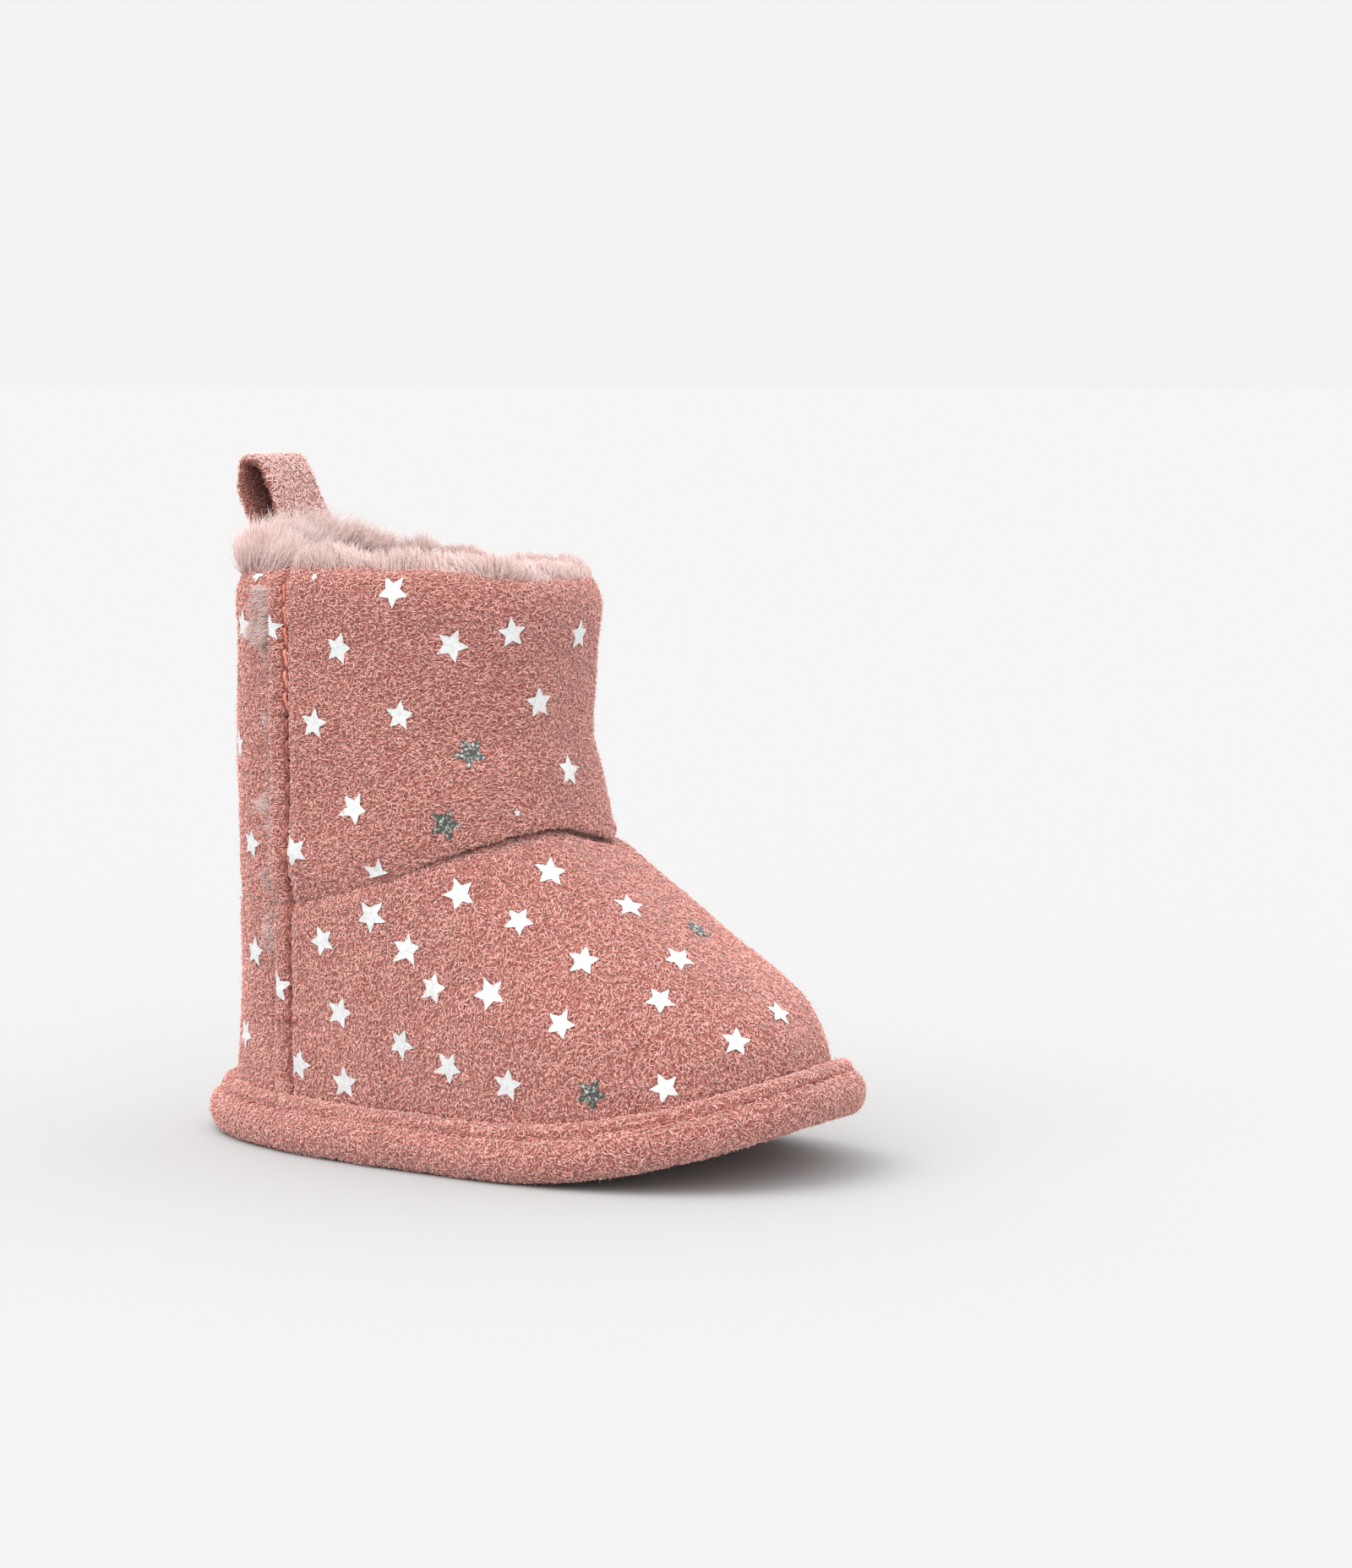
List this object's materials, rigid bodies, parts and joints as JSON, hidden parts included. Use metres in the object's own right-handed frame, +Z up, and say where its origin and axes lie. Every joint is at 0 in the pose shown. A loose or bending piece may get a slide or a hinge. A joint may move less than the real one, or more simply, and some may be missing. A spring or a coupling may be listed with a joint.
{
  "type": "baby bootie",
  "caption": "Soft ankle bootie for a baby: padded sole, fur-lined side-opening shaft with a folding flap, and a fabric pull loop at the heel.",
  "frame": {"origin": "on the ground, below the middle of the bootie's bounding box", "axes": "+X towards the toe, +Y towards the closed side, away from the side opening, +Z up"},
  "size_m": [0.1224, 0.066, 0.1186],
  "materials": {
    "suede": "matte, short curly pile, printed with silver foil stars",
    "fur": "pale pink faux fur",
    "foam": "soft wadding",
    "board": "fibre board",
    "tape": "hook and loop tape",
    "thread": "sewing thread"
  },
  "bodies": {
    "boot": {"outsole": "suede", "sole_foam": "foam", "sole_edge_roll": "suede", "welt": "suede", "sole_stitching": "thread", "insole_board": "board", "insole_fleece": "fur", "vamp_panel": "suede", "vamp_lining": "fur", "shaft_panel": "suede", "shaft_lining": "fur", "heel_panel": "suede", "heel_lining": "fur", "loop_tape": "tape", "slit_bartack": "thread", "pull_loop_tail": "suede"},
    "side_flap": {"flap_shaft_corner": "suede", "flap_vamp_corner": "suede", "flap_lining": "fur", "hook_tape": "tape", "flap_topstitch": "thread"},
    "loop": {"pull_loop": "suede"}
  },
  "joints": [
    {"name": "flap_fold", "type": "hinge", "parent": "boot", "child": "side_flap", "pos_m": [-0.0378, -0.0254, 0.024], "axis": [0.4132, 0, 0.9107], "range_deg": [0, 95]},
    {"name": "pull_loop_bend", "type": "hinge", "parent": "boot", "child": "loop", "pos_m": [-0.0504, 0.0075, 0.1009], "axis": [0, 1, 0], "range_deg": [-45, 55]}
  ]
}
